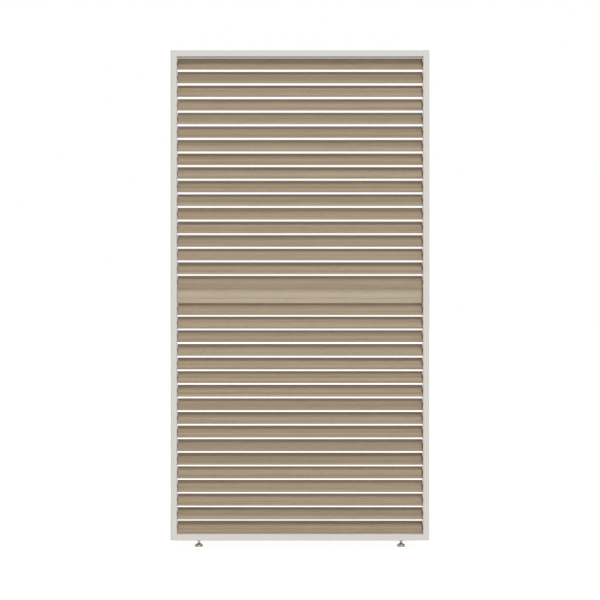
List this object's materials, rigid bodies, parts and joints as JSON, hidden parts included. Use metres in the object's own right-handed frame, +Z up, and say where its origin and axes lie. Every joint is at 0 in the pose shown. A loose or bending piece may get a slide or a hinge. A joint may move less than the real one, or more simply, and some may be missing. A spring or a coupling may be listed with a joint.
{
  "type": "rotating slat room divider",
  "caption": "Free-standing room divider: a tall rectangular metal frame on levelling feet, holding two banks of linked turning slats parted by a fixed middle rail.",
  "frame": {"origin": "on the floor, below the middle of the frame in width and depth", "axes": "+Z up; the front, where the slats' low edges are, faces -Y; +X to the viewer's right along the slats"},
  "size_m": [1.043, 0.08, 2.0015],
  "materials": {
    "frame_paint": "off-white fine powder coat, satin",
    "wood_effect": "matt printed wood effect, grain along the length",
    "plug_plastic": "off-white moulded plastic",
    "nylon": "dark grey nylon, slightly waxy",
    "steel": "zinc-plated",
    "foot_metal": "turned and nickel-plated, warm tint",
    "link_metal": "mill finish"
  },
  "bodies": {
    "frame": {"stile_left": "frame_paint", "stile_right": "frame_paint", "stile_cover_left": "frame_paint", "stile_cover_right": "frame_paint", "top_rail": "frame_paint", "bottom_rail": "frame_paint", "mid_rail": "wood_effect", "rail_screws": "steel", "mid_rail_screws": "steel", "end_plug_bottom_left": "plug_plastic", "end_plug_top_left": "plug_plastic", "end_plug_bottom_right": "plug_plastic", "end_plug_top_right": "plug_plastic", "pivot_bushes_left": "nylon", "pivot_bushes_right": "nylon", "foot_inserts": "steel", "lock_nuts": "steel"},
    "slat_upper_01": {"slat_upper_01": "wood_effect"},
    "slat_upper_02": {"slat_upper_02": "wood_effect"},
    "slat_upper_03": {"slat_upper_03": "wood_effect"},
    "slat_upper_04": {"slat_upper_04": "wood_effect"},
    "slat_upper_05": {"slat_upper_05": "wood_effect"},
    "slat_upper_06": {"slat_upper_06": "wood_effect"},
    "slat_upper_07": {"slat_upper_07": "wood_effect"},
    "slat_upper_08": {"slat_upper_08": "wood_effect"},
    "slat_upper_09": {"slat_upper_09": "wood_effect"},
    "slat_upper_10": {"slat_upper_10": "wood_effect"},
    "slat_upper_11": {"slat_upper_11": "wood_effect"},
    "slat_upper_12": {"slat_upper_12": "wood_effect"},
    "slat_upper_13": {"slat_upper_13": "wood_effect"},
    "slat_upper_14": {"slat_upper_14": "wood_effect"},
    "slat_upper_15": {"slat_upper_15": "wood_effect"},
    "slat_upper_16": {"slat_upper_16": "wood_effect"},
    "slat_upper_17": {"slat_upper_17": "wood_effect"},
    "link_bar_upper": {"link_bar_upper": "link_metal"},
    "slat_lower_01": {"slat_lower_01": "wood_effect"},
    "slat_lower_02": {"slat_lower_02": "wood_effect"},
    "slat_lower_03": {"slat_lower_03": "wood_effect"},
    "slat_lower_04": {"slat_lower_04": "wood_effect"},
    "slat_lower_05": {"slat_lower_05": "wood_effect"},
    "slat_lower_06": {"slat_lower_06": "wood_effect"},
    "slat_lower_07": {"slat_lower_07": "wood_effect"},
    "slat_lower_08": {"slat_lower_08": "wood_effect"},
    "slat_lower_09": {"slat_lower_09": "wood_effect"},
    "slat_lower_10": {"slat_lower_10": "wood_effect"},
    "slat_lower_11": {"slat_lower_11": "wood_effect"},
    "slat_lower_12": {"slat_lower_12": "wood_effect"},
    "slat_lower_13": {"slat_lower_13": "wood_effect"},
    "slat_lower_14": {"slat_lower_14": "wood_effect"},
    "slat_lower_15": {"slat_lower_15": "wood_effect"},
    "slat_lower_16": {"slat_lower_16": "wood_effect"},
    "slat_lower_17": {"slat_lower_17": "wood_effect"},
    "link_bar_lower": {"link_bar_lower": "link_metal"},
    "foot_front_left": {"foot_front_left": "foot_metal"},
    "foot_front_right": {"foot_front_right": "foot_metal"},
    "foot_back_left": {"foot_back_left": "foot_metal"},
    "foot_back_right": {"foot_back_right": "foot_metal"}
  },
  "joints": [
    {"name": "upper_slats_turn", "type": "hinge", "parent": "frame", "child": "slat_upper_01", "pos_m": [0, 0, 1.949], "axis": [1, 0, 0], "range_deg": [-127, 15]},
    {"name": "slat_upper_02_turn", "type": "hinge", "parent": "frame", "child": "slat_upper_02", "pos_m": [0, 0, 1.894], "axis": [1, 0, 0], "range_deg": [-127, 15]},
    {"name": "slat_upper_03_turn", "type": "hinge", "parent": "frame", "child": "slat_upper_03", "pos_m": [0, 0, 1.839], "axis": [1, 0, 0], "range_deg": [-127, 15]},
    {"name": "slat_upper_04_turn", "type": "hinge", "parent": "frame", "child": "slat_upper_04", "pos_m": [0, 0, 1.784], "axis": [1, 0, 0], "range_deg": [-127, 15]},
    {"name": "slat_upper_05_turn", "type": "hinge", "parent": "frame", "child": "slat_upper_05", "pos_m": [0, 0, 1.729], "axis": [1, 0, 0], "range_deg": [-127, 15]},
    {"name": "slat_upper_06_turn", "type": "hinge", "parent": "frame", "child": "slat_upper_06", "pos_m": [0, 0, 1.674], "axis": [1, 0, 0], "range_deg": [-127, 15]},
    {"name": "slat_upper_07_turn", "type": "hinge", "parent": "frame", "child": "slat_upper_07", "pos_m": [0, 0, 1.619], "axis": [1, 0, 0], "range_deg": [-127, 15]},
    {"name": "slat_upper_08_turn", "type": "hinge", "parent": "frame", "child": "slat_upper_08", "pos_m": [0, 0, 1.564], "axis": [1, 0, 0], "range_deg": [-127, 15]},
    {"name": "slat_upper_09_turn", "type": "hinge", "parent": "frame", "child": "slat_upper_09", "pos_m": [0, 0, 1.509], "axis": [1, 0, 0], "range_deg": [-127, 15]},
    {"name": "slat_upper_10_turn", "type": "hinge", "parent": "frame", "child": "slat_upper_10", "pos_m": [0, 0, 1.454], "axis": [1, 0, 0], "range_deg": [-127, 15]},
    {"name": "slat_upper_11_turn", "type": "hinge", "parent": "frame", "child": "slat_upper_11", "pos_m": [0, 0, 1.399], "axis": [1, 0, 0], "range_deg": [-127, 15]},
    {"name": "slat_upper_12_turn", "type": "hinge", "parent": "frame", "child": "slat_upper_12", "pos_m": [0, 0, 1.344], "axis": [1, 0, 0], "range_deg": [-127, 15]},
    {"name": "slat_upper_13_turn", "type": "hinge", "parent": "frame", "child": "slat_upper_13", "pos_m": [0, 0, 1.289], "axis": [1, 0, 0], "range_deg": [-127, 15]},
    {"name": "slat_upper_14_turn", "type": "hinge", "parent": "frame", "child": "slat_upper_14", "pos_m": [0, 0, 1.234], "axis": [1, 0, 0], "range_deg": [-127, 15]},
    {"name": "slat_upper_15_turn", "type": "hinge", "parent": "frame", "child": "slat_upper_15", "pos_m": [0, 0, 1.179], "axis": [1, 0, 0], "range_deg": [-127, 15]},
    {"name": "slat_upper_16_turn", "type": "hinge", "parent": "frame", "child": "slat_upper_16", "pos_m": [0, 0, 1.124], "axis": [1, 0, 0], "range_deg": [-127, 15]},
    {"name": "slat_upper_17_turn", "type": "hinge", "parent": "frame", "child": "slat_upper_17", "pos_m": [0, 0, 1.069], "axis": [1, 0, 0], "range_deg": [-127, 15]},
    {"name": "link_bar_upper_pin", "type": "hinge", "parent": "slat_upper_01", "child": "link_bar_upper", "pos_m": [0.5, 0.00783, 1.96061], "axis": [1, 0, 0], "range_deg": [-15, 127]},
    {"name": "lower_slats_turn", "type": "hinge", "parent": "frame", "child": "slat_lower_01", "pos_m": [0, 0, 0.959], "axis": [1, 0, 0], "range_deg": [-127, 15]},
    {"name": "slat_lower_02_turn", "type": "hinge", "parent": "frame", "child": "slat_lower_02", "pos_m": [0, 0, 0.904], "axis": [1, 0, 0], "range_deg": [-127, 15]},
    {"name": "slat_lower_03_turn", "type": "hinge", "parent": "frame", "child": "slat_lower_03", "pos_m": [0, 0, 0.849], "axis": [1, 0, 0], "range_deg": [-127, 15]},
    {"name": "slat_lower_04_turn", "type": "hinge", "parent": "frame", "child": "slat_lower_04", "pos_m": [0, 0, 0.794], "axis": [1, 0, 0], "range_deg": [-127, 15]},
    {"name": "slat_lower_05_turn", "type": "hinge", "parent": "frame", "child": "slat_lower_05", "pos_m": [0, 0, 0.739], "axis": [1, 0, 0], "range_deg": [-127, 15]},
    {"name": "slat_lower_06_turn", "type": "hinge", "parent": "frame", "child": "slat_lower_06", "pos_m": [0, 0, 0.684], "axis": [1, 0, 0], "range_deg": [-127, 15]},
    {"name": "slat_lower_07_turn", "type": "hinge", "parent": "frame", "child": "slat_lower_07", "pos_m": [0, 0, 0.629], "axis": [1, 0, 0], "range_deg": [-127, 15]},
    {"name": "slat_lower_08_turn", "type": "hinge", "parent": "frame", "child": "slat_lower_08", "pos_m": [0, 0, 0.574], "axis": [1, 0, 0], "range_deg": [-127, 15]},
    {"name": "slat_lower_09_turn", "type": "hinge", "parent": "frame", "child": "slat_lower_09", "pos_m": [0, 0, 0.519], "axis": [1, 0, 0], "range_deg": [-127, 15]},
    {"name": "slat_lower_10_turn", "type": "hinge", "parent": "frame", "child": "slat_lower_10", "pos_m": [0, 0, 0.464], "axis": [1, 0, 0], "range_deg": [-127, 15]},
    {"name": "slat_lower_11_turn", "type": "hinge", "parent": "frame", "child": "slat_lower_11", "pos_m": [0, 0, 0.409], "axis": [1, 0, 0], "range_deg": [-127, 15]},
    {"name": "slat_lower_12_turn", "type": "hinge", "parent": "frame", "child": "slat_lower_12", "pos_m": [0, 0, 0.354], "axis": [1, 0, 0], "range_deg": [-127, 15]},
    {"name": "slat_lower_13_turn", "type": "hinge", "parent": "frame", "child": "slat_lower_13", "pos_m": [0, 0, 0.299], "axis": [1, 0, 0], "range_deg": [-127, 15]},
    {"name": "slat_lower_14_turn", "type": "hinge", "parent": "frame", "child": "slat_lower_14", "pos_m": [0, 0, 0.244], "axis": [1, 0, 0], "range_deg": [-127, 15]},
    {"name": "slat_lower_15_turn", "type": "hinge", "parent": "frame", "child": "slat_lower_15", "pos_m": [0, 0, 0.189], "axis": [1, 0, 0], "range_deg": [-127, 15]},
    {"name": "slat_lower_16_turn", "type": "hinge", "parent": "frame", "child": "slat_lower_16", "pos_m": [0, 0, 0.134], "axis": [1, 0, 0], "range_deg": [-127, 15]},
    {"name": "slat_lower_17_turn", "type": "hinge", "parent": "frame", "child": "slat_lower_17", "pos_m": [0, 0, 0.079], "axis": [1, 0, 0], "range_deg": [-127, 15]},
    {"name": "link_bar_lower_pin", "type": "hinge", "parent": "slat_lower_01", "child": "link_bar_lower", "pos_m": [0.5, 0.00783, 0.97061], "axis": [1, 0, 0], "range_deg": [-15, 127]},
    {"name": "foot_front_left_screw", "type": "slide", "parent": "frame", "child": "foot_front_left", "axis": [0, 0, -1], "range_m": [0, 0.012]},
    {"name": "foot_front_right_screw", "type": "slide", "parent": "frame", "child": "foot_front_right", "axis": [0, 0, -1], "range_m": [0, 0.012]},
    {"name": "foot_back_left_screw", "type": "slide", "parent": "frame", "child": "foot_back_left", "axis": [0, 0, -1], "range_m": [0, 0.012]},
    {"name": "foot_back_right_screw", "type": "slide", "parent": "frame", "child": "foot_back_right", "axis": [0, 0, -1], "range_m": [0, 0.012]}
  ],
  "couplings": [
    {"joint": "slat_upper_02_turn", "follows": "upper_slats_turn", "ratio": 1},
    {"joint": "slat_upper_03_turn", "follows": "upper_slats_turn", "ratio": 1},
    {"joint": "slat_upper_04_turn", "follows": "upper_slats_turn", "ratio": 1},
    {"joint": "slat_upper_05_turn", "follows": "upper_slats_turn", "ratio": 1},
    {"joint": "slat_upper_06_turn", "follows": "upper_slats_turn", "ratio": 1},
    {"joint": "slat_upper_07_turn", "follows": "upper_slats_turn", "ratio": 1},
    {"joint": "slat_upper_08_turn", "follows": "upper_slats_turn", "ratio": 1},
    {"joint": "slat_upper_09_turn", "follows": "upper_slats_turn", "ratio": 1},
    {"joint": "slat_upper_10_turn", "follows": "upper_slats_turn", "ratio": 1},
    {"joint": "slat_upper_11_turn", "follows": "upper_slats_turn", "ratio": 1},
    {"joint": "slat_upper_12_turn", "follows": "upper_slats_turn", "ratio": 1},
    {"joint": "slat_upper_13_turn", "follows": "upper_slats_turn", "ratio": 1},
    {"joint": "slat_upper_14_turn", "follows": "upper_slats_turn", "ratio": 1},
    {"joint": "slat_upper_15_turn", "follows": "upper_slats_turn", "ratio": 1},
    {"joint": "slat_upper_16_turn", "follows": "upper_slats_turn", "ratio": 1},
    {"joint": "slat_upper_17_turn", "follows": "upper_slats_turn", "ratio": 1},
    {"joint": "link_bar_upper_pin", "follows": "upper_slats_turn", "ratio": -1},
    {"joint": "slat_lower_02_turn", "follows": "lower_slats_turn", "ratio": 1},
    {"joint": "slat_lower_03_turn", "follows": "lower_slats_turn", "ratio": 1},
    {"joint": "slat_lower_04_turn", "follows": "lower_slats_turn", "ratio": 1},
    {"joint": "slat_lower_05_turn", "follows": "lower_slats_turn", "ratio": 1},
    {"joint": "slat_lower_06_turn", "follows": "lower_slats_turn", "ratio": 1},
    {"joint": "slat_lower_07_turn", "follows": "lower_slats_turn", "ratio": 1},
    {"joint": "slat_lower_08_turn", "follows": "lower_slats_turn", "ratio": 1},
    {"joint": "slat_lower_09_turn", "follows": "lower_slats_turn", "ratio": 1},
    {"joint": "slat_lower_10_turn", "follows": "lower_slats_turn", "ratio": 1},
    {"joint": "slat_lower_11_turn", "follows": "lower_slats_turn", "ratio": 1},
    {"joint": "slat_lower_12_turn", "follows": "lower_slats_turn", "ratio": 1},
    {"joint": "slat_lower_13_turn", "follows": "lower_slats_turn", "ratio": 1},
    {"joint": "slat_lower_14_turn", "follows": "lower_slats_turn", "ratio": 1},
    {"joint": "slat_lower_15_turn", "follows": "lower_slats_turn", "ratio": 1},
    {"joint": "slat_lower_16_turn", "follows": "lower_slats_turn", "ratio": 1},
    {"joint": "slat_lower_17_turn", "follows": "lower_slats_turn", "ratio": 1},
    {"joint": "link_bar_lower_pin", "follows": "lower_slats_turn", "ratio": -1}
  ]
}
